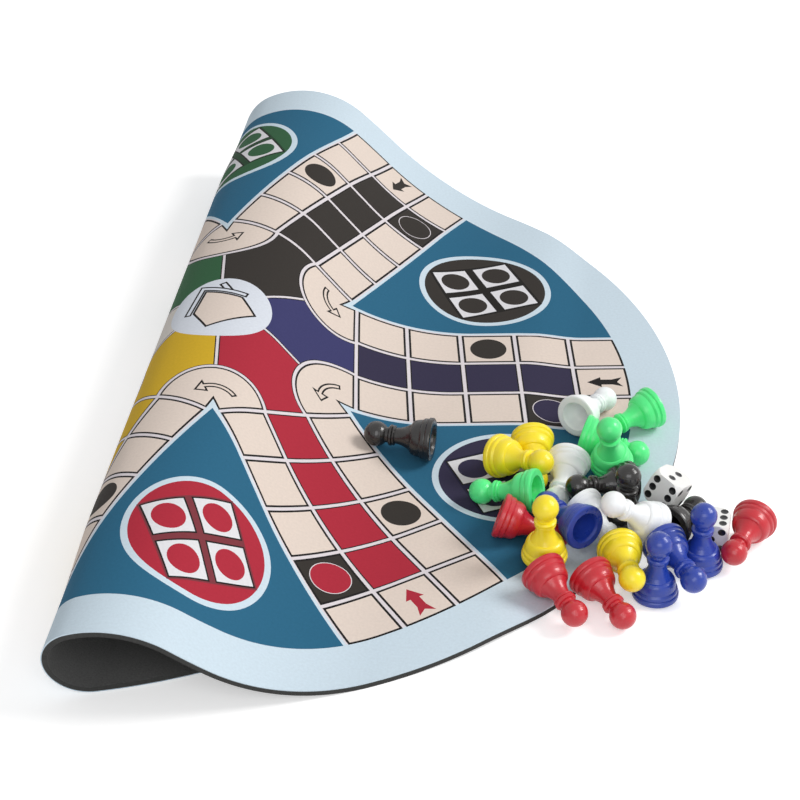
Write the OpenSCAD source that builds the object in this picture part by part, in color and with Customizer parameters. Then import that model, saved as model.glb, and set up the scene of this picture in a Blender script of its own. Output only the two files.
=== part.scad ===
// Round ludo mat for six players, folded under itself at one side,
// with its loose pile of hollow pawns and two dice.
// The origin is on the table, under the middle of the folded mat; +X is right and +Y is away.

/* [Mat] */
// Radius of the round mat
mat_r = 200; // [170:1:230]
// Thickness of the rubber backing
rubber_t = 2; // [1:0.1:3]
// Thickness of the printed cloth
cloth_t = 0.4; // [0.2:0.1:1]

/* [Fold] */
// Distance of the print's middle to the left of the origin
print_middle = 80; // [60:1:90]
// Turn of the fold line from straight away towards the right
fold_lean = 7; // [0:1:15]
// Distance of the fold line to the left of the middle
fold_offset = 7.5; // [0:0.5:20]
// Where the upper layer starts to rise, to the right of the fold line
rise_from = 114; // [100:1:125]
// Radius of the upward curve
rise_r = 94; // [80:1:110]
// Steepest slope of the upper layer
rise_a = 37; // [25:1:45]
// Straight run at the steepest slope
slope_run = 18; // [5:1:30]
// Radius over the crown
crown_r = 40; // [30:1:50]
// Slope past the crown where the tight fold starts
crown_a = 25; // [10:1:40]
// Distance at which the lines of the bend would meet, on the viewer's side
taper_run = 1650; // [1200:10:4000]

/* [Pawns] */
// Height of a pawn
pawn_h = 28; // [26:0.5:30]
// Radius of its foot
foot_r = 8.7; // [8:0.1:8.8]
// Radius of its head
head_r = 5; // [4:0.1:5]
// Radius of the hollow at its mouth
mouth_r = 6; // [5:0.1:6.4]

/* [Dice] */
// Edge of a die
die_w = 12.6; // [10:0.2:13]
// Radius of a pip
pip_r = 1.5; // [0.8:0.05:1.6]
// Depth of a pip
pip_depth = 0.35; // [0.2:0.05:0.6]

/* [Hidden] */

sheet_t = rubber_t + cloth_t;
// The upper layer lies on the lower one with this much room under it
lap_h = sheet_t + 0.4;
// Across the fold: where the upper layer steps down beyond the lower one's edge
step_from = 140;
step_to = 164;
// Along the fold: the lower layer is round, so the lap fades out between these distances
lap_full = 125;
lap_gone = 175;

// ---- the bent sheet ----
// A point of the sheet is named by how far along the sheet it is to the left of the fold
// line, and by how far along the fold line it is. The bend is a run of arcs, each given as
// [length along the sheet, turn in degrees], and it grows with the distance from the viewer.

function smooth(a, b, x) = let(u = min(max((x - a) / (b - a), 0), 1)) u * u * (3 - 2 * u);
function arc_length(r, a) = r * a * PI / 180;
function grow(along) = 1 + along / taper_run;
function lap(along) = lap_h * (1 - smooth(lap_full, lap_gone, abs(along)));

// Moves on from [x, z, slope] by a distance d that turns evenly
function run_on(p, d, turn) =
    abs(turn) < 0.01
    ? [p[0] + d * cos(p[2]), p[1] + d * sin(p[2]), p[2]]
    : let(r = d / (turn * PI / 180), end = p[2] + turn)
      [p[0] + r * (sin(end) - sin(p[2])), p[1] - r * (cos(end) - cos(p[2])), end];

// The arcs of the bend, from a start height h; the last one comes down to the table
function bend(h, k) = let(
        crest = h + k * (rise_r * (1 - cos(rise_a)) + slope_run * sin(rise_a)
                         + crown_r * (cos(crown_a) - cos(rise_a))),
        fold_r = crest / (1 + cos(crown_a)))
    [
        [arc_length(k * rise_r, rise_a), rise_a],
        [k * slope_run, 0],
        [arc_length(k * crown_r, rise_a + crown_a), -(rise_a + crown_a)],
        [arc_length(fold_r, 180 - crown_a), -(180 - crown_a)]
    ];

function follow(p, arcs, d, i = 0) =
    i == len(arcs) ? run_on(p, d, 0)
    : d <= arcs[i][0] ? run_on(p, d, arcs[i][1] * d / arcs[i][0])
    : follow(run_on(p, arcs[i][0], arcs[i][1]), arcs, d - arcs[i][0], i + 1);

// The printed face as [x, z, slope], x growing to the left of the fold line
function printed_face(left, along) = let(k = grow(along), h = sheet_t + lap(along))
    left < -k * rise_from
    ? [left, sheet_t + lap(along) * smooth(-step_to, -step_from, left), 0]
    : follow([-k * rise_from, h, 0], bend(h, k), left + k * rise_from);

// A point at some depth below the printed face
function sheet_point(left, along, depth) = let(p = printed_face(left, along))
    [-p[0] - depth * sin(p[2]) - fold_offset, along, p[1] - depth * cos(p[2])];

// Lines of the mesh: round numbers of steps on the right cap, over the bend and on the left cap
cap_steps = 13;
rise_steps = 6;
crown_steps = 8;
fold_steps = 18;
along_steps = 6;
first_a = 3;

bend_arcs = bend(lap_h + sheet_t, 1);
rise_end = bend_arcs[0][0] - rise_from;
slope_end = rise_end + bend_arcs[1][0];
crown_end = slope_end + bend_arcs[2][0];
fold_end = crown_end + bend_arcs[3][0];
right_a = acos((rise_from - fold_offset) / mat_r);
left_a = acos((fold_end + fold_offset) / mat_r);

lines = concat(
    [for (i = [0:cap_steps]) -fold_offset - mat_r * cos(first_a + (right_a - first_a) * i / cap_steps)],
    [for (i = [1:rise_steps]) -rise_from + (rise_end + rise_from) * i / rise_steps],
    [slope_end],
    [for (i = [1:crown_steps]) slope_end + (crown_end - slope_end) * i / crown_steps],
    [for (i = [1:fold_steps]) crown_end + (fold_end - crown_end) * i / fold_steps],
    [for (i = [1:cap_steps]) -fold_offset + mat_r * cos(left_a + (first_a - left_a) * i / cap_steps)]
);

// Where a line of the bend crosses the round outline, on the near (-1) or the far (+1) side
function crossing(left, side) = let(
        b = fold_offset + left, m = left / taper_run,
        root = sqrt(max(b * b * m * m - (1 + m * m) * (b * b - mat_r * mat_r), 0)))
    (side * root - b * m) / (1 + m * m);

function along_at(left, j) = let(near = crossing(left, -1), far = crossing(left, 1))
    near + (far - near) * j / along_steps;

function grid_points(depth) = [
    for (left = lines, j = [0:along_steps])
        let(along = along_at(left, j)) sheet_point(left * grow(along), along, depth)
];

// A solid between two depths of the bent sheet
module bent_layer(from_depth, to_depth) {
    n = len(lines) - 1;
    row = along_steps + 1;
    under = len(lines) * row;
    quads = concat(
        [for (i = [0:n-1], j = [0:along_steps-1]) let(a = i * row + j) [a, a + row, a + row + 1, a + 1]],
        [for (i = [0:n-1], j = [0:along_steps-1]) let(a = under + i * row + j) [a, a + 1, a + row + 1, a + row]],
        [for (i = [0:n-1]) let(a = i * row) [a + row, a, a + under, a + row + under]],
        [for (i = [0:n-1]) let(a = i * row + along_steps) [a, a + row, a + row + under, a + under]],
        [for (j = [0:along_steps-1]) [j, j + 1, j + 1 + under, j + under]],
        [for (j = [0:along_steps-1]) let(a = n * row + j) [a + 1, a, a + under, a + 1 + under]]
    );
    polyhedron(
        points = concat(grid_points(from_depth), grid_points(to_depth)),
        faces = [for (q = quads) each [[q[0], q[1], q[2]], [q[0], q[2], q[3]]]]
    );
}

// Where the folded mat lies: the middle of its print is left of the origin
module lay_mat() {
    translate([-print_middle, 0, 0]) rotate([0, 0, -fold_lean]) children();
}

module mat_rubber_base() {
    color([0.2, 0.2, 0.2]) lay_mat() bent_layer(cloth_t, sheet_t);
}

module mat_printed_cloth() {
    color([0.76, 0.85, 0.91]) lay_mat() bent_layer(0, cloth_t);
}

// ---- the pawn ----
// Half of its section: banded foot, rounded shoulder, waist, double collar, ball head, hollow.
shoulder_z = 4.6;
waist_z = 8.8;
waist_r = 5.3;
neck_r = 3.2;
collar_z = pawn_h - 12.8;
collar_r = 4.2;
head_z = pawn_h - head_r;
neck_join_a = -52;

function shoulder_curve(steps) = [
    for (i = [0:steps]) let(a = 90 * i / steps)
        [waist_r + 0.2 + (foot_r - 1.2 - waist_r - 0.2) * cos(a),
         shoulder_z + (waist_z - shoulder_z) * sin(a)]
];
function waist_curve(steps) = [
    for (i = [0:steps]) let(u = i / steps)
        [neck_r + (waist_r - neck_r) * (1 - u) * (1 - u), waist_z + 0.3 + (collar_z - waist_z - 0.3) * u]
];
function head_curve(steps) = [
    for (i = [0:steps]) let(a = neck_join_a + (90 - neck_join_a) * i / steps)
        [head_r * cos(a), head_z + head_r * sin(a)]
];

pawn_section = concat(
    [[mouth_r, 0], [foot_r - 0.6, 0], [foot_r - 0.15, 0.25], [foot_r, 0.8], [foot_r - 0.05, 1.9],
     [foot_r - 0.4, 2.3], [foot_r - 0.6, 2.4], [foot_r - 0.5, 2.7], [foot_r - 0.55, 3.8],
     [foot_r - 0.9, 4.3]],
    shoulder_curve(6),
    waist_curve(5),
    [[collar_r - 0.6, collar_z], [collar_r - 0.2, collar_z + 0.3], [collar_r - 0.3, collar_z + 0.9],
     [collar_r - 0.6, collar_z + 1.1], [collar_r, collar_z + 1.4], [collar_r, collar_z + 2.1],
     [collar_r - 0.5, collar_z + 2.6], [neck_r - 0.1, collar_z + 2.8]],
    head_curve(12),
    [[0, 13.4], [0.9, 13.1], [1.6, 11.8], [2.6, 9], [4.2, 5.5], [mouth_r - 0.8, 2.4],
     [mouth_r - 0.5, 1]]
);

module pawn(colour, place) {
    color(colour) translate([place[0], place[1], place[2]]) rotate([0, 90 - place[4], place[3]])
        rotate_extrude($fn = 40) polygon(pawn_section);
}

// ---- the die ----
// Pips per face, in steps of the pip spacing; opposite faces add up to seven.
pip_step = die_w * 0.3;
pip_grids = [
    [[0, 0]],
    [[-0.7, 0], [0.7, 0]],
    [[-1, -1], [0, 0], [1, 1]],
    [[-1, -1], [-1, 1], [1, -1], [1, 1]],
    [[-1, -1], [-1, 1], [0, 0], [1, -1], [1, 1]],
    [[-1, -1], [0, -1], [1, -1], [-1, 1], [0, 1], [1, 1]]
];

// Each pip is the cap of a ball sunk into the face
pip_ball_r = (pip_r * pip_r + pip_depth * pip_depth) / (2 * pip_depth);

module pips(count, turn) {
    rotate(turn) for (spot = pip_grids[count - 1])
        translate([spot[0] * pip_step, spot[1] * pip_step, die_w / 2 + pip_ball_r - pip_depth])
            sphere(r = pip_ball_r, $fn = 24);
}

// lean: how the die tips and faces; spin: its turn about its own upright;
// faces: how many pips point to +Z, -Z, +X, -X, +Y and -Y
module die(place, lean, spin, faces) {
    color("white") translate(place) rotate(lean) rotate([0, 0, spin]) difference() {
        intersection() {
            cube(die_w, center = true);
            sphere(r = die_w * 0.74, $fn = 48);
        }
        pips(faces[0], [0, 0, 0]);
        pips(faces[1], [180, 0, 0]);
        pips(faces[2], [0, 90, 0]);
        pips(faces[3], [0, -90, 0]);
        pips(faces[4], [-90, 0, 0]);
        pips(faces[5], [90, 0, 0]);
    }
}

// Places of the pawns of each colour: [x, y, height of the middle of the foot, heading from
// foot to head, rise of the axis above level]
pawn_places = [
    ["white", [
        [74.5, -33.5, 11.5, 54, -9],
        [70.5, -63.5, 12, -107, -10],
        [72.5, -94, 11.5, -55, -9],
        [99.5, -108.5, 13.5, -159, 38]
    ]],
    ["green", [
        [56, -91.5, 16.5, 160, -15],
        [87, -62.5, 9, -109, 69],
        [107, -25.5, 11.5, -148, -9],
        [76.5, -46.5, 11.5, -19, -9]
    ]],
    ["yellow", [
        [56, -51, 13.5, -89, -11],
        [41.5, -64, 13.5, -41, 18],
        [57.5, -121.5, 8, -137, 88],
        [85.5, -117.5, 9.5, -83, 8]
    ]],
    ["red", [
        [41, -104, 14.5, -12, -17],
        [55.5, -134, 12, -60, -12],
        [73, -133, 9.5, -60, -10],
        [139.5, -97.5, 9, -118, -3]
    ]],
    ["blue", [
        [72.5, -117.5, 18.5, 125, -7],
        [116.5, -116.5, 0.5, -62, 91],
        [101.5, -117, 12.5, -65, -5],
        [98, -134, 0.5, -69, 90]
    ]],
    ["black", [
        [16.5, -55, 14.5, 168, -1],
        [93.5, -79, 11.5, -161, 8],
        [105, -105.5, 9.5, 56, -11],
        [90, -95, 3, 151, 89.5]
    ]]
];

// Paint of each colour name
paints = [
    ["white", [0.9, 0.9, 0.88]], ["green", [0.2, 0.85, 0.4]], ["yellow", [0.95, 0.85, 0.15]],
    ["red", [0.8, 0.2, 0.22]], ["blue", [0.15, 0.2, 0.65]], ["black", [0.12, 0.12, 0.12]]
];

mat_rubber_base();
mat_printed_cloth();

for (set = pawn_places, i = [0:3])
    pawn(paints[search([set[0]], paints)[0]][1], set[1][i]);

// One die leans on a pawn with its two up, the other lies flat with its six up
die([106.5, -86, 14], [0, 24, 4], 48, [2, 5, 1, 6, 3, 4]);  // die_1
die([122.5, -102, 6.5], [0, 0, 1], 77, [6, 1, 2, 5, 4, 3]);  // die_2
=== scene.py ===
"""Six-player ludo mat of printed cloth on foam rubber, its left half folded under, with 24 pawns and two dice.

The mat's two sheets are made here. Each is cut flat into triangles, the cloth's along the outlines of its
print as well, and then bent by the rule that the CAD uses. The pawns and dice are the frame's own.
"""
from math import acos, atan2, cos, degrees, hypot, pi, radians, sin, sqrt

import bpy
import numpy as np
from mathutils import Matrix, Vector
from mathutils.geometry import delaunay_2d_cdt


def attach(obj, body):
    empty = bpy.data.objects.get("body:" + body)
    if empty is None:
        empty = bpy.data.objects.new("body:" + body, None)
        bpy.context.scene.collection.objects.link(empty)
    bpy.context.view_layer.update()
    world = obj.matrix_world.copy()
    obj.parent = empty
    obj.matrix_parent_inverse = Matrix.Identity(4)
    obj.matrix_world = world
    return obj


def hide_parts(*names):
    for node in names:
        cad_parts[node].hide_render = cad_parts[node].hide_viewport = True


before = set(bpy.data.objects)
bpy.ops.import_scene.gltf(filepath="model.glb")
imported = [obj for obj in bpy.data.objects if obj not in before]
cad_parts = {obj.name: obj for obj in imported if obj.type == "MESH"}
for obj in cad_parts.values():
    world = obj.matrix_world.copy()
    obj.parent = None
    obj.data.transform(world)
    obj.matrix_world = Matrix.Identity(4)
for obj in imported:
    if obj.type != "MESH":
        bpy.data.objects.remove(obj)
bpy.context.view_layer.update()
collection = bpy.context.scene.collection

# ---- camera: fitted to the crossings of the print's grid in the photograph ----
ELEVATION, ROLL = radians(33.81), 0.0063
AIM, DISTANCE = Vector((0.0033, -0.0051, 0)), 0.916  # metres
FOCUS, PICTURE_W = 2186, 800                         # pixels
SENSOR_W = 36


def add_camera():
    forward = Vector((0, cos(ELEVATION), -sin(ELEVATION)))
    right = Vector((1, 0, 0))
    up = right.cross(forward)
    rolled_right = right * cos(ROLL) + up * sin(ROLL)
    rolled_up = up * cos(ROLL) - right * sin(ROLL)
    data = bpy.data.cameras.new("camera")
    data.sensor_width = SENSOR_W
    data.lens = FOCUS * SENSOR_W / PICTURE_W
    data.clip_start, data.clip_end = 0.05, 50
    camera = bpy.data.objects.new("camera", data)
    matrix = Matrix((rolled_right, rolled_up, -forward)).transposed().to_4x4()
    matrix.translation = AIM - forward * DISTANCE
    camera.matrix_world = matrix
    collection.objects.link(camera)
    bpy.context.scene.camera = camera


add_camera()

# ---- materials ----
UV_MAP = "print_mm"   # the flat print's own millimetres
THREAD_SCALE = 1.1    # gives bands 0.29 mm apart


def linear(rgb):
    """An sRGB colour in 0-255 as linear values."""
    parts = [c / 255 for c in rgb]
    return (*(c / 12.92 if c <= 0.04045 else ((c + 0.055) / 1.055) ** 2.4 for c in parts), 1)


class Nodes:
    """A material's node tree, with short calls to add and join nodes."""

    def __init__(self, name):
        self.material = bpy.data.materials.new(name)
        self.material.use_nodes = True
        self.tree = self.material.node_tree
        self.shader = self.tree.nodes["Principled BSDF"]

    def add(self, kind, inputs=(), **settings):
        """A new node; an input is a value or another node's output."""
        node = self.tree.nodes.new(kind)
        for key, value in settings.items():
            setattr(node, key, value)
        for key, value in dict(inputs).items():
            if isinstance(value, bpy.types.NodeSocket):
                self.tree.links.new(value, node.inputs[key])
            else:
                node.inputs[key].default_value = value
        return node

    def join(self, output, name):
        self.tree.links.new(output, self.shader.inputs[name])

    def set(self, **values):
        for key, value in values.items():
            self.shader.inputs[key.replace("_", " ")].default_value = value


def vary(m, colour, scale, amount, coordinates, detail=3):
    """The colour, a little darker and lighter in soft patches, and the noise behind them."""
    noise = m.add("ShaderNodeTexNoise", {"Vector": coordinates, "Scale": scale, "Detail": detail})
    ramp = m.add("ShaderNodeValToRGB", {"Fac": noise.outputs["Fac"]})
    ramp.color_ramp.elements[0].position, ramp.color_ramp.elements[1].position = 0.3, 0.7
    for element, k in zip(ramp.color_ramp.elements, (1 - amount, 1 + amount)):
        element.color = (*(min(1, c * k) for c in colour[:3]), 1)
    return ramp.outputs["Color"], noise.outputs["Fac"]


def cloth(name, rgb):
    """Fine-woven printed cloth; its threads run with the print."""
    m = Nodes(name)
    uv = m.add("ShaderNodeUVMap", uv_map=UV_MAP).outputs["UV"]
    colour, _ = vary(m, linear(rgb), 0.9, 0.035, uv)
    m.join(colour, "Base Color")
    warp, weft = (
        m.add("ShaderNodeTexWave", {"Vector": uv, "Scale": THREAD_SCALE, "Distortion": 0.6, "Detail": 1},
              wave_type="BANDS", bands_direction=way).outputs["Fac"]
        for way in "XY")
    weave = m.add("ShaderNodeMath", {0: warp, 1: weft}, operation="MAXIMUM").outputs[0]
    bump = m.add("ShaderNodeBump", {"Height": weave, "Strength": 0.12, "Distance": 0.00008})
    m.join(bump.outputs["Normal"], "Normal")
    rough = m.add("ShaderNodeMapRange", {"Value": weave, "To Min": 0.72, "To Max": 0.86})
    m.join(rough.outputs[0], "Roughness")
    m.set(Specular_IOR_Level=0.1, Sheen_Weight=0.02, Sheen_Roughness=0.5)
    return m.material


def rubber(name, shade):
    """Dark foam rubber with a fine waffle on it; shade is its grey in 0-255."""
    m = Nodes(name)
    uv = m.add("ShaderNodeUVMap", uv_map=UV_MAP).outputs["UV"]
    colour, grain = vary(m, linear((shade, shade, shade - 1)), 1.4, 0.15, uv, 6)
    m.join(colour, "Base Color")
    cells = m.add("ShaderNodeTexVoronoi", {"Vector": uv, "Scale": 0.7, "Randomness": 0.25},
                  feature="DISTANCE_TO_EDGE").outputs["Distance"]
    height = m.add("ShaderNodeMath", {0: cells, 1: grain}, operation="ADD").outputs[0]
    bump = m.add("ShaderNodeBump", {"Height": height, "Strength": 0.5, "Distance": 0.0003})
    m.join(bump.outputs["Normal"], "Normal")
    rough = m.add("ShaderNodeMapRange", {"Value": grain, "To Min": 0.8, "To Max": 0.95})
    m.join(rough.outputs[0], "Roughness")
    m.set(Specular_IOR_Level=0.2)
    return m.material


def plastic(name, rgb, roughness, milky):
    """Glossy moulded plastic with soft flow marks and slight haze; milky is how much light enters it."""
    m = Nodes(name)
    position = m.add("ShaderNodeTexCoord").outputs["Object"]
    colour, _ = vary(m, linear(rgb), 90, 0.035, position)
    m.join(colour, "Base Color")
    fine = m.add("ShaderNodeTexNoise", {"Vector": position, "Scale": 260, "Detail": 4}).outputs["Fac"]
    bump = m.add("ShaderNodeBump", {"Height": fine, "Strength": 0.06, "Distance": 0.0004})
    m.join(bump.outputs["Normal"], "Normal")
    rough = m.add("ShaderNodeMapRange",
                  {"Value": fine, "To Min": roughness - 0.05, "To Max": roughness + 0.07})
    m.join(rough.outputs[0], "Roughness")
    m.set(Specular_IOR_Level=0.5, Subsurface_Weight=milky, Subsurface_Radius=(0.003, 0.003, 0.003),
          Subsurface_Scale=0.5, Coat_Weight=0.15, Coat_Roughness=0.12)
    return m.material


# ---- the bent sheet: the same bend as the CAD's, in millimetres ----
MAT_R = 200
CLOTH_T, SHEET_T = 0.4, 2.4  # the cloth alone, and with the rubber
PRINT_MIDDLE = 80            # the print's middle lies this far left of the origin
FOLD_OFFSET = 7.5            # the fold line, left of the print's middle
FOLD_LEAN = radians(7)       # its turn from straight away towards the right
TAPER_RUN = 1650             # the bend grows by one part in this for each millimetre along the fold
RISE_FROM, RISE_R, RISE_A = 114, 94, radians(37)
SLOPE_RUN = 18
CROWN_R, CROWN_A = 40, radians(25)
LAP_H = 2.8                  # the upper layer's height where it lies on the lower one
STEP_FROM, STEP_TO = 140, 164   # across the fold: where it steps down beyond the lower layer's edge
LAP_FULL, LAP_GONE = 125, 175   # along the fold: where the lap fades out, as the lower layer is round


def smooth(a, b, x):
    u = min(max((x - a) / (b - a), 0), 1)
    return u * u * (3 - 2 * u)


def run_on(p, d, turn):
    """From (x, z, slope), a distance d further, turning evenly."""
    if abs(turn) < 1e-4:
        return p[0] + d * cos(p[2]), p[1] + d * sin(p[2]), p[2]
    r, end = d / turn, p[2] + turn
    return p[0] + r * (sin(end) - sin(p[2])), p[1] - r * (cos(end) - cos(p[2])), end


def bend_arcs(h, k):
    """The bend's arcs as (length, turn), from a height h and k times as large; the last reaches the table."""
    crest = h + k * (RISE_R * (1 - cos(RISE_A)) + SLOPE_RUN * sin(RISE_A)
                     + CROWN_R * (cos(CROWN_A) - cos(RISE_A)))
    fold_r = crest / (1 + cos(CROWN_A))
    return ((k * RISE_R * RISE_A, RISE_A), (k * SLOPE_RUN, 0),
            (k * CROWN_R * (RISE_A + CROWN_A), -RISE_A - CROWN_A), (fold_r * (pi - CROWN_A), CROWN_A - pi))


def printed_face(left, along):
    """The printed face as (x, z, slope), x growing to the left, for a distance left of the fold line."""
    k = 1 + along / TAPER_RUN
    lap = LAP_H * (1 - smooth(LAP_FULL, LAP_GONE, abs(along)))
    if left < -k * RISE_FROM:
        return left, SHEET_T + lap * smooth(-STEP_TO, -STEP_FROM, left), 0
    p, d = (-k * RISE_FROM, SHEET_T + lap, 0), left + k * RISE_FROM
    for length, turn in bend_arcs(SHEET_T + lap, k):
        if d <= length:
            return run_on(p, d, turn * d / length)
        p, d = run_on(p, length, turn), d - length
    return run_on(p, d, 0)


def place(x, y, depth=0.0):
    """A point of the print, seen from above and unfolded, as a point of the folded sheet, in metres."""
    c, s = cos(FOLD_LEAN), sin(FOLD_LEAN)
    left, along = -(x * c - y * s + FOLD_OFFSET), x * s + y * c
    p = printed_face(left, along)
    out, z = -p[0] - depth * sin(p[2]) - FOLD_OFFSET, p[1] - depth * cos(p[2])
    return Vector((out * c + along * s - PRINT_MIDDLE, along * c - out * s, z)) / 1000


def facing(x, y):
    """The print's upward normal there, on the folded sheet."""
    e = 0.05
    a = place(x + e, y) - place(x - e, y)
    b = place(x, y + e) - place(x, y - e)
    return a.cross(b).normalized()


# ---- the sheet's triangles ----
RIM_STEP = radians(1.5)
RIM_MARGIN = 0.4  # a line that only grazes the rim by less is left out


def chord(a, b, c):
    """Where the straight line a*x + b*y = c crosses the round outline, as two angles."""
    size = hypot(a, b)
    if abs(c) >= size * (MAT_R - RIM_MARGIN):
        return None
    middle, half = atan2(b, a), acos(c / size / MAT_R)
    return middle - half, middle + half


def fold_lines():
    """The straight lines that the bend needs as edges, each as the angles of its two ends on the rim."""
    stops = [-192, -STEP_TO - 4]
    stops += range(-STEP_TO, -STEP_FROM + 1, 3)
    stops += range(-STEP_FROM + 8, -RISE_FROM, 8)
    at = -RISE_FROM
    stops.append(at)
    for (length, _), step in zip(bend_arcs(SHEET_T + LAP_H, 1), (2.0, 6.0, 1.6, 1.25)):
        n = max(1, round(length / step))
        stops += [at + length * (i + 1) / n for i in range(n)]
        at += length
    stops += [at + 3, at + 10, at + 22, at + 40]
    c, s = cos(FOLD_LEAN), sin(FOLD_LEAN)
    found = []
    for u in sorted(set(round(u, 3) for u in stops)):
        # left = u * (1 + along / TAPER_RUN), as a line in the print's own x and y
        m = u / TAPER_RUN
        found.append(chord(-c - m * s, s - m * c, u + FOLD_OFFSET))
    # lines across, close together where the lap fades out
    across = [6 + 12 * i for i in range(10)]
    across += [LAP_FULL + (LAP_GONE - LAP_FULL) * i / 15 for i in range(16)]
    for side in (-1, 1):
        found += [chord(s, c, side * along) for along in across]
    return [f for f in found if f]


def whole_turn(angle):
    """The angle between 0 and a whole turn, rounded so that it finds its own point again."""
    return round(angle % (2 * pi), 6)


def rim():
    """Angles of the rim's points: every line's ends, and more between them so that it stays round."""
    ends = sorted(set(whole_turn(a) for pair in LINES for a in pair))
    kept = [ends[0]]
    for a in ends[1:] + [ends[0] + 2 * pi]:
        start = kept[-1]
        n = int((a - start) / RIM_STEP) + 1
        kept += [start + (a - start) * (i + 1) / n for i in range(n)]
    return kept[:-1]


LINES = fold_lines()
RIM = rim()


def inside(x, y, outline):
    """Which of the points x, y lie inside the outline, by counting the edges to their right."""
    found = np.zeros(len(x), bool)
    for (ax, ay), (bx, by) in zip(outline, np.roll(outline, -1, 0)):
        if ay != by:
            found ^= ((y < ay) != (y < by)) & (x < ax + (y - ay) * (bx - ax) / (by - ay))
    return found


def triangulate(art):
    """The round sheet cut along the bend's lines and the art: points, triangles, ink of each, rim's points."""
    points = [Vector((MAT_R * cos(a), MAT_R * sin(a))) for a in RIM]
    index = {whole_turn(a): i for i, a in enumerate(RIM)}
    edges = [(index[whole_turn(a)], index[whole_turn(b)]) for a, b in LINES]
    edges += [(i, (i + 1) % len(RIM)) for i in range(len(RIM))]
    for _, outline in art:
        first, size = len(points), len(outline)
        edges += [(first + i, first + (i + 1) % size) for i in range(size)]
        points += [Vector(p) for p in outline]
    flat, _, cut, origin, _, _ = delaunay_2d_cdt(points, edges, [], 0, 1e-5, True)
    on_rim = {}
    for i, old in enumerate(origin):
        on_rim.update((o, i) for o in old if o < len(RIM))
    middles = np.array(flat)[np.array([tuple(f) for f in cut])].mean(1)
    x, y = middles[:, 0], middles[:, 1]
    inks = np.zeros(len(cut), int)
    for ink, outline in art:
        line = np.array(outline)
        (x0, y0), (x1, y1) = line.min(0), line.max(0)
        near = np.nonzero((x > x0) & (x < x1) & (y > y0) & (y < y1))[0]
        inks[near[inside(x[near], y[near], line)]] = ink
    return list(flat), [tuple(f) for f in cut], inks.tolist(), [on_rim[i] for i in range(len(RIM))]


def wound(face, plan, side):
    """The face with its corners in the order that turns it up (side 1) or down (side -1)."""
    a, b, c = (plan[i] for i in face)
    return face if (b - a).cross(c - a) * side > 0 else face[::-1]


def sheet_piece(name, art, top, bottom, materials, back_ink, rim_ink):
    """A closed sheet between two depths of the bend, with the art's inks on its upper side."""
    upper, upper_faces, ink, upper_rim = triangulate(art)
    lower, lower_faces, _, lower_rim = triangulate([])
    n, rim_size = len(upper), len(RIM)
    points = [place(p.x, p.y, top) for p in upper] + [place(p.x, p.y, bottom) for p in lower]
    faces = [wound(f, upper, 1) for f in upper_faces]
    faces += [tuple(n + i for i in wound(f, lower, -1)) for f in lower_faces]
    first_side = len(faces)
    for i in range(rim_size):
        j = (i + 1) % rim_size
        faces.append((n + lower_rim[i], n + lower_rim[j], upper_rim[j], upper_rim[i]))
    ink = ink + [back_ink] * len(lower_faces) + [rim_ink] * rim_size

    mesh = bpy.data.meshes.new(name)
    mesh.from_pydata(points, [], faces)
    for material in materials:
        mesh.materials.append(material)
    mesh.polygons.foreach_set("material_index", ink)
    mesh.polygons.foreach_set("use_smooth", [True] * len(faces))
    layer = mesh.uv_layers.new(name=UV_MAP)
    plan = list(upper) + list(lower)
    turned_to = [facing(p.x, p.y) for p in plan]
    normals = []
    for k, polygon in enumerate(mesh.polygons):
        for loop in polygon.loop_indices:
            v = mesh.loops[loop].vertex_index
            layer.data[loop].uv = plan[v]
            if k >= first_side:
                normals.append(tuple(polygon.normal))
            else:
                normals.append(tuple(turned_to[v] if v < n else -turned_to[v]))
    mesh.normals_split_custom_set(normals)
    piece = bpy.data.objects.new(name, mesh)
    collection.objects.link(piece)
    return piece


# ---- the print (mm, about its middle, seen from above with the sheet unfolded) ----
COLUMN_W = 22.7
ROW, ROWS_FROM = 23.5, 63.3
ARM_W = 3 * COLUMN_W
FIELD_R = 180
GAP, LINE = 0.75, 0.95      # half of the pale line between cells, and the dark outline in it
THIN_LINE = 0.55            # the outline of coloured cells
YARD_MARGIN = 1.15          # pale line between an arm and the yard beside it
DISC_R = 7.8
START_AT, STOP_AT = 145.5, 122  # how far out the coloured and the black discs are
MIDDLE_R, HOMES_R = 21.8, 50
HOME_GAP, HOME_LINE = 0.55, 0.5
COS30, SIN30, TAN30 = cos(radians(30)), 0.5, 0.577

INKS = {
    "border": (203, 219, 230), "dark": (34, 32, 32), "cream": (224, 209, 198), "teal": (44, 100, 130),
    "gap": (221, 214, 218), "white": (222, 221, 225), "pale": (216, 221, 230),
    "blue_arm": (53, 49, 72), "blue_home": (60, 60, 104), "black_arm": (54, 50, 47),
    "green_arm": (50, 92, 62), "white_arm": (216, 210, 203), "yellow_arm": (208, 170, 44),
    "red_arm": (172, 46, 62),
    "blue_band": (38, 36, 60), "black_band": (34, 32, 30), "green_band": (36, 66, 44),
    "white_band": (176, 170, 165), "yellow_band": (152, 120, 34), "red_band": (124, 56, 64),
}
INK = {name: i for i, name in enumerate(INKS)}
ARMS = {"blue": 2, "black": 62, "green": 122, "white": 182, "yellow": 242, "red": 302}  # degrees
art = []  # (ink, outline) in painting order


def turned(angle, pairs):
    c, s = cos(radians(angle)), sin(radians(angle))
    return [(x * c - y * s, x * s + y * c) for x, y in pairs]


def arc(x, y, r, start, end, n):
    angles = [radians(start + (end - start) * i / n) for i in range(n + 1)]
    return [(x + r * cos(a), y + r * sin(a)) for a in angles]


def ring(x, y, r, n=48):
    return arc(x, y, r, 0, 360, n)[:-1]


def square(x, y, half):
    return [(x - half, y - half), (x + half, y - half), (x + half, y + half), (x - half, y + half)]


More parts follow.
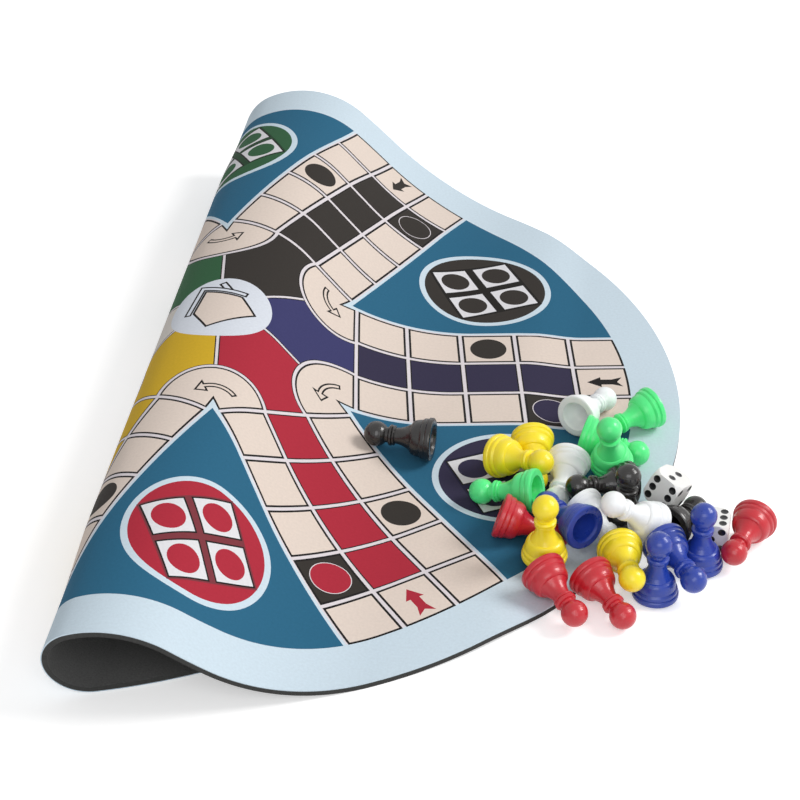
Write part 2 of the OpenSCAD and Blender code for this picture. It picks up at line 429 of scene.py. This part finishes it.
def field_arc(low, high, n, inward=0.0):
    """Points of the field's circle between two distances from an arm's axis."""
    steps = [low + (high - low) * i / n for i in range(n + 1)]
    return [(sqrt(FIELD_R ** 2 - v * v) - inward, v) for v in steps]


def inset(points, d):
    """The outline moved inward by d, with mitred corners."""
    size = len(points)
    after = points[1:] + points[:1]
    area = sum(ax * by - bx * ay for (ax, ay), (bx, by) in zip(points, after))
    side = 1 if area > 0 else -1
    out = []
    for i in range(size):
        (ax, ay), (bx, by), (cx, cy) = points[i - 1], points[i], after[i]
        l1, l2 = hypot(bx - ax, by - ay), hypot(cx - bx, cy - by)
        n1 = (-(by - ay) / l1 * side, (bx - ax) / l1 * side)
        n2 = (-(cy - by) / l2 * side, (cx - bx) / l2 * side)
        k = max(1 + n1[0] * n2[0] + n1[1] * n2[1], 0.25)
        out.append((bx + d * (n1[0] + n2[0]) / k, by + d * (n1[1] + n2[1]) / k))
    return out


def fill(ink, points):
    art.append((INK[ink], points))


def framed(ink, points, line=LINE):
    fill("dark", points)
    fill(ink, inset(points, line))


def cell(row, column):
    """One square of an arm that points right; the outermost row ends on the field's circle."""
    low, high = (column - 0.5) * COLUMN_W + GAP, (column + 0.5) * COLUMN_W - GAP
    near = ROWS_FROM + row * ROW + GAP
    if row == 4:
        return [(near, low)] + field_arc(low, high, 6) + [(near, high)]
    far = ROWS_FROM + (row + 1) * ROW - GAP
    return [(near, low), (far, low), (far, high), (near, high)]


def draw_yard(arm):
    """The teal field between an arm and the next one clockwise."""
    side = ARM_W / 2 + YARD_MARGIN
    reach = degrees(acos(side / FIELD_R)) - 60
    fill("teal", turned(arm - 30, [(2 * side, 0)] + arc(0, 0, FIELD_R, -reach, reach, 20)))


def draw_arm(name, arm):
    own = name + "_arm"
    half, start = ARM_W / 2, ROWS_FROM - 2
    fill("gap", turned(arm, [(start, -half)] + field_arc(-half, half, 20, 0.3) + [(start, half)]))
    for row in range(5):
        for column in (-1, 0, 1):
            outline = turned(arm, cell(row, column))
            if (row, column) == (3, -1):  # where a player's pawns enter
                framed("black_arm", outline)
                fill("gap", turned(arm, ring(START_AT, -COLUMN_W, DISC_R + 0.35)))
                fill(own, turned(arm, ring(START_AT, -COLUMN_W, DISC_R)))
            elif column == 0 and row < 4:
                framed(own, outline, THIN_LINE)
            else:
                framed("cream", outline)
            if (row, column) == (2, 1):
                fill("black_arm", turned(arm, ring(STOP_AT, COLUMN_W, DISC_R)))
    # the dart that shows where the home column is entered
    half_dart = [(162.4, 0), (168.3, 3.8), (168.3, 1.9), (173, 1.9), (177.4, 3.5)]
    dart = half_dart + [(175.1, 0)] + [(r, -v) for r, v in half_dart[:0:-1]]
    fill("dark" if name == "blue" else own, turned(arm, dart))


def draw_home(name, arm):
    """One of the six coloured sectors round the middle."""
    near, far = MIDDLE_R * COS30 - 6, ROWS_FROM - GAP
    inner = MIDDLE_R * SIN30 - HOME_GAP / COS30 - 6 * TAN30
    outer = far * SIN30 / COS30 - HOME_GAP / COS30
    outline = turned(arm, [(near, -inner), (far, -outer), (far, outer), (near, inner)])
    framed(name + ("_home" if name == "blue" else "_arm"), outline, HOME_LINE)


BOW_AT = 66                                  # middle of the corner cell's round side
BOW_R, BOW_PALE_R, BOW_DARK_R = 22.3, 23.7, 24.1
NOTCH = 64.8                                 # the tip of the notch in its other side
PALE_TO, TEAL_TO = 74, 74.2
TURN_R, SHAFT, BARB = 10.2, 1.4, 4.1         # the curved arrow: its bend, and half its widths
TURN_FROM, TURN_TO, TURN_TIP = 125, 200, 231  # degrees


def draw_corner(arm):
    """The cell between two arms, with the curved arrow that shows the way round."""
    out = arm - 30
    edge, corner = ROWS_FROM - GAP, ARM_W / 2 - GAP
    heel = (edge * COS30 + corner * SIN30, edge * SIN30 - corner * COS30)
    back = [(heel[0], -heel[1]), heel]

    def bow(r):
        start = 30 + degrees(acos((edge - BOW_AT * COS30) / r))
        return arc(BOW_AT, 0, r, start, 360 - start, 30)

    fill("dark", turned(out, bow(BOW_DARK_R) + back))
    fill("gap", turned(out, bow(BOW_PALE_R) + back))
    framed("cream", turned(out, bow(BOW_R) + [back[0], (NOTCH, 0), back[1]]), 0.85)
    reach = (PALE_TO - 2 * corner) * TAN30
    fill("border", turned(out, [(NOTCH, 0), heel, (PALE_TO, reach), (PALE_TO, -reach), back[0]]))
    yard_tip = ARM_W + 2 * YARD_MARGIN
    reach = (TEAL_TO - yard_tip) * TAN30
    fill("teal", turned(out, [(yard_tip, 0), (TEAL_TO, reach), (TEAL_TO, -reach)]))

    def on_turn(r, angle):
        return [(BOW_AT + r * cos(radians(angle)), r * sin(radians(angle)))]

    arrow = arc(BOW_AT, 0, TURN_R + SHAFT, TURN_FROM, TURN_TO, 10) + on_turn(TURN_R + BARB, TURN_TO)
    arrow += on_turn(TURN_R, TURN_TIP) + on_turn(TURN_R - BARB, TURN_TO)
    arrow += arc(BOW_AT, 0, TURN_R - SHAFT, TURN_TO, TURN_FROM, 10)
    framed("cream", turned(out, arrow), 0.8)


def draw_middle():
    """The round middle with a plain little house."""
    tilt = 28
    fill("pale", ring(0, 0, MIDDLE_R, 72))
    chimney = [(6.6, 9), (10.2, 5), (10.2, 16.4), (6.6, 16.4)]
    walls = [(-11.5, -11), (11.5, -11), (11.5, 2.8), (0, 15.6), (-11.5, 2.8)]
    roof = [(-15.0, 4.2), (-12.6, 2.0), (0, 15.8), (12.6, 2.0), (15.0, 4.2), (0, 20.4)]
    framed("pale", turned(tilt, chimney), 0.9)
    framed("cream", turned(tilt, walls), 1.0)
    framed("pale", turned(tilt, roof), 0.85)


YARD_AT, YARD_R, YARD_RING_R = 142.5, 27.2, 29.8
YARD_TURN = 22                               # degrees, the same in all six
BAND_HALF = 19.4                             # the darker square behind the four places
PLACE_AT, PLACE_HALF, PLACE_LINE, PLACE_DISC_R = 10, 8.7, 0.7, 6.4


def draw_places(name, arm):
    """A yard's circle with the player's four places."""
    x, y = turned(arm - 30, [(YARD_AT, 0)])[0]

    def here(pairs):
        return [(x + a, y + b) for a, b in turned(YARD_TURN, pairs)]

    fill("border", ring(x, y, YARD_RING_R, 72))
    fill(name + "_arm", ring(x, y, YARD_R, 72))
    fill(name + "_band", here(square(0, 0, BAND_HALF)))
    for cx in (-PLACE_AT, PLACE_AT):
        for cy in (-PLACE_AT, PLACE_AT):
            framed("white", here(square(cx, cy, PLACE_HALF)), PLACE_LINE)
            fill(name + "_arm", here(ring(cx, cy, PLACE_DISC_R, 32)))


for arm in ARMS.values():
    draw_yard(arm)
for name, arm in ARMS.items():
    draw_arm(name, arm)
fill("gap", ring(0, 0, HOMES_R))
for name, arm in ARMS.items():
    draw_home(name, arm)
for arm in ARMS.values():
    draw_corner(arm)
draw_middle()
for name, arm in ARMS.items():
    draw_places(name, arm)

inks = [cloth("cloth_" + name, rgb) for name, rgb in INKS.items()]
cloth_piece = sheet_piece("printed_cloth", art, 0, CLOTH_T, inks, INK["border"], INK["border"])
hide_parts("mat_printed_cloth")
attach(cloth_piece, "mat")

# The rim gets a darker copy of the same rubber, grey 62 against the faces' 100: painted shade along the
# sheet's edge.
foams = [rubber("foam_rubber", 100), rubber("cut_rubber", 62)]
rubber_piece = sheet_piece("rubber_base", [], CLOTH_T, SHEET_T, foams, 0, 1)
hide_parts("mat_rubber_base")
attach(rubber_piece, "mat")

# ---- pawns and dice ----
PLASTICS = {  # colour, roughness, milkiness
    "white": plastic("white_plastic", (249, 252, 254), 0.36, 0.15),
    "green": plastic("green_plastic", (84, 240, 138), 0.32, 0.12),
    "yellow": plastic("yellow_plastic", (255, 228, 36), 0.32, 0.12),
    "red": plastic("red_plastic", (196, 36, 48), 0.3, 0.1),
    "blue": plastic("blue_plastic", (34, 62, 160), 0.28, 0.08),
    "black": plastic("black_plastic", (34, 32, 31), 0.24, 0.0),
    "die": plastic("die_plastic", (244, 244, 241), 0.3, 0.12),
}
for name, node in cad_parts.items():
    if name.startswith("mat_"):
        continue
    kind = name.split("_")[1] if name.startswith("pawn_") else "die"
    if not node.data.materials:
        node.data.materials.append(PLASTICS[kind])
    for slot in node.material_slots:
        slot.material = PLASTICS[kind]

# ---- paint in the dice's pips (mm and degrees, as in the CAD) ----
DIE_W, PIP_R, PIP_DEPTH = 12.6, 1.5, 0.35
PIP_STEP = DIE_W * 0.3
PAINT_R, PAINT_T = PIP_R * 0.985, 0.03
PAINT_RINGS, PAINT_AROUND = 5, 28
PIP_GRIDS = (
    ((0, 0),), ((-0.7, 0), (0.7, 0)), ((-1, -1), (0, 0), (1, 1)), ((-1, -1), (-1, 1), (1, -1), (1, 1)),
    ((-1, -1), (-1, 1), (0, 0), (1, -1), (1, 1)), ((-1, -1), (0, -1), (1, -1), (-1, 1), (0, 1), (1, 1)),
)
FACE_TURNS = ((0, 0, 0), (180, 0, 0), (0, 90, 0), (0, -90, 0), (-90, 0, 0), (90, 0, 0))
DICE = {  # place, lean, spin, and the pips of the faces in the order of FACE_TURNS
    "die_1": ((106.5, -86, 14), (0, 24, 4), 48, (2, 5, 1, 6, 3, 4)),
    "die_2": ((122.5, -102, 6.5), (0, 0, 1), 77, (6, 1, 2, 5, 4, 3)),
}


def turn_xyz(angles):
    x, y, z = (radians(a) for a in angles)
    return Matrix.Rotation(z, 4, "Z") @ Matrix.Rotation(y, 4, "Y") @ Matrix.Rotation(x, 4, "X")


def paint_points(gx, gy):
    """A pip's shallow round of paint, on the die's upper face: a middle point and rings about it."""
    ball_r = (PIP_R ** 2 + PIP_DEPTH ** 2) / (2 * PIP_DEPTH)
    points = []
    for i in range(PAINT_RINGS + 1):
        r = PAINT_R * i / PAINT_RINGS
        z = DIE_W / 2 + ball_r - PIP_DEPTH - sqrt(ball_r ** 2 - r * r) + PAINT_T
        for j in range(PAINT_AROUND if i else 1):
            a = 2 * pi * j / PAINT_AROUND
            points.append(Vector((gx * PIP_STEP + r * cos(a), gy * PIP_STEP + r * sin(a), z)))
    return points


def paint_faces(first):
    """The faces of one such round, whose middle is the point numbered first."""
    faces = []
    for j in range(PAINT_AROUND):
        k = (j + 1) % PAINT_AROUND
        faces.append((first, first + 1 + j, first + 1 + k))
        for i in range(1, PAINT_RINGS):
            a, b = first + 1 + (i - 1) * PAINT_AROUND, first + 1 + i * PAINT_AROUND
            faces.append((a + j, b + j, b + k, a + k))
    return faces


pip_paint = plastic("pip_paint", (18, 18, 19), 0.3, 0.0)
for name, (spot, lean, spin, counts) in DICE.items():
    base = Matrix.Translation(spot) @ turn_xyz(lean) @ Matrix.Rotation(radians(spin), 4, "Z")
    points, faces = [], []
    for count, face_turn in zip(counts, FACE_TURNS):
        for gx, gy in PIP_GRIDS[count - 1]:
            faces += paint_faces(len(points))
            points += [base @ (turn_xyz(face_turn) @ p) / 1000 for p in paint_points(gx, gy)]
    mesh = bpy.data.meshes.new(name + "_pips")
    mesh.from_pydata(points, [], faces)
    mesh.polygons.foreach_set("use_smooth", [True] * len(faces))
    mesh.materials.append(pip_paint)
    pips = bpy.data.objects.new(name + "_pips", mesh)
    collection.objects.link(pips)
    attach(pips, name)


# ---- floor and light ----
def shows_background(tree):
    """1 for the rays that show the pale background: the camera's, and those by way of gloss or glass."""
    path = tree.nodes.new("ShaderNodeLightPath")
    shown = path.outputs["Is Camera Ray"]
    for kind in ("Is Glossy Ray", "Is Transmission Ray"):
        either = tree.nodes.new("ShaderNodeMath")
        either.operation = "MAXIMUM"
        tree.links.new(shown, either.inputs[0])
        tree.links.new(path.outputs[kind], either.inputs[1])
        shown = either.outputs[0]
    return shown


def add_floor():
    """A plain pale floor, which the background's rays see a little brighter."""
    half, drop, albedo, lift = 3, 0.0002, 0.93, 0.4
    mesh = bpy.data.meshes.new("floor")
    mesh.from_pydata([(*p, 0) for p in square(0, 0, half)], [], [(0, 1, 2, 3)])
    floor = bpy.data.objects.new("floor", mesh)
    floor.location.z = -drop
    collection.objects.link(floor)
    m = Nodes("floor")
    position = m.add("ShaderNodeTexCoord").outputs["Object"]
    tone, _ = vary(m, (albedo, albedo, albedo, 1), 8, 0.006, position)
    m.join(tone, "Base Color")
    m.set(Roughness=0.9, Specular_IOR_Level=0.1, Emission_Color=(1, 1, 1, 1))
    lifted = m.add("ShaderNodeMath", {0: shows_background(m.tree), 1: lift}, operation="MULTIPLY")
    m.join(lifted.outputs[0], "Emission Strength")
    mesh.materials.append(m.material)


def add_lamp(name, position, aim, size, power, colour):
    """A soft round lamp; metres and watts."""
    data = bpy.data.lights.new(name, "AREA")
    data.shape, data.size, data.energy, data.color = "DISK", size, power, colour
    lamp = bpy.data.objects.new(name, data)
    lamp.location = position
    lamp.rotation_euler = (Vector(aim) - Vector(position)).to_track_quat("-Z", "Y").to_euler()
    collection.objects.link(lamp)


def add_world():
    """Even white light from all round, which the background's rays see at full strength."""
    ambient = 0.42
    world = bpy.data.worlds.new("world")
    bpy.context.scene.world = world
    world.use_nodes = True
    tree = world.node_tree
    strength = tree.nodes.new("ShaderNodeMapRange")
    strength.inputs["To Min"].default_value, strength.inputs["To Max"].default_value = ambient, 1.0
    tree.links.new(shows_background(tree), strength.inputs["Value"])
    background = tree.nodes["Background"]
    tree.links.new(strength.outputs[0], background.inputs["Strength"])
    background.inputs["Color"].default_value = (1, 1, 1, 1)


add_floor()
add_lamp("key", (1.80, 0.20, 1.60), (0.02, 0, 0), 1.0, 34, (1, 0.99, 0.975))
add_lamp("fill", (0.05, -1.1, 0.8), (0, 0, 0), 0.9, 5.0, (0.97, 0.985, 1))
add_world()
bpy.context.scene.view_settings.view_transform = "Standard"
